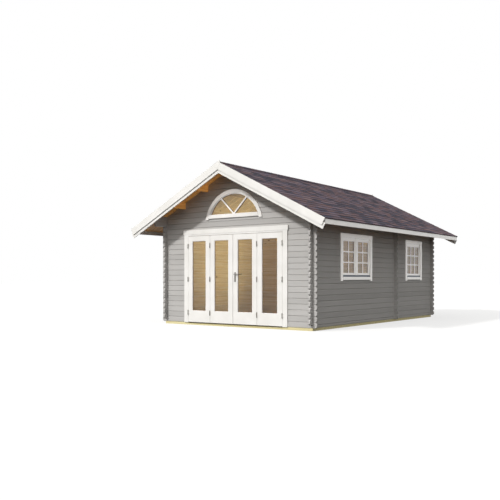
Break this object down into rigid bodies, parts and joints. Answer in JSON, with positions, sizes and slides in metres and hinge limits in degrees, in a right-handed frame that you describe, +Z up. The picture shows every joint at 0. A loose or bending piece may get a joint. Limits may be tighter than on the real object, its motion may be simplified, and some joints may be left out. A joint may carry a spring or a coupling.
{
  "type": "log cabin",
  "caption": "Log cabin with notched log walls, a gable roof on purlins, a glazed folding front whose middle leaves swing open, an arched gable window and side windows.",
  "frame": {"origin": "on the ground under the middle of the roof", "axes": "+Z up, front towards -Y, +X to the right when seen from the front"},
  "size_m": [4.984, 6.95, 3.4002],
  "materials": {
    "painted_log": "matt grey paint",
    "treated_timber": "pressure treated, sawn",
    "floor_wood": "planed, bare",
    "natural_wood": "planed, clear stain",
    "white_trim": "satin white paint",
    "roof_shingle": "mineral-surfaced bitumen",
    "window_glass": "clear",
    "dark_steel": "satin dark",
    "threshold_metal": "dull dark"
  },
  "bodies": {
    "cabin": {"back_barge_boards": "white_trim", "back_barge_strips": "white_trim", "back_wall": "painted_log", "door_casing": "white_trim", "door_frame": "white_trim", "door_threshold": "threshold_metal", "floor": "floor_wood", "foundation_beams": "treated_timber", "front_barge_boards": "white_trim", "front_barge_strips": "white_trim", "front_gable": "painted_log", "front_wall_left": "painted_log", "front_wall_right": "painted_log", "gable_window_casing": "white_trim", "gable_window_frame": "white_trim", "gable_window_glass": "window_glass", "jamb_hinges": "dark_steel", "left_eave_fascia": "white_trim", "left_outer_leaf": "white_trim", "left_roof_boards": "natural_wood", "left_roof_covering": "roof_shingle", "left_wall": "painted_log", "outer_leaf_glass": "window_glass", "outer_leaf_hinges": "dark_steel", "partition_wall": "painted_log", "purlins": "natural_wood", "ridge_cap": "roof_shingle", "right_eave_fascia": "white_trim", "right_outer_leaf": "white_trim", "right_roof_boards": "natural_wood", "right_roof_covering": "roof_shingle", "right_wall": "painted_log", "window_casings": "white_trim", "window_frames": "white_trim", "window_glass": "window_glass", "window_sashes": "white_trim"},
    "left_leaf": {"left_inner_leaf": "white_trim", "left_inner_glass": "window_glass", "left_inner_hinges": "dark_steel"},
    "right_leaf": {"right_inner_leaf": "white_trim", "right_inner_glass": "window_glass", "right_inner_hinges": "dark_steel", "door_handles": "dark_steel"}
  },
  "joints": [
    {"name": "left_leaf_swing", "type": "hinge", "parent": "cabin", "child": "left_leaf", "pos_m": [-0.617, -2.974, 1], "axis": [0, 0, -1], "range_deg": [0, 165]},
    {"name": "right_leaf_swing", "type": "hinge", "parent": "cabin", "child": "right_leaf", "pos_m": [0.617, -2.974, 1], "axis": [0, 0, 1], "range_deg": [0, 165]}
  ]
}
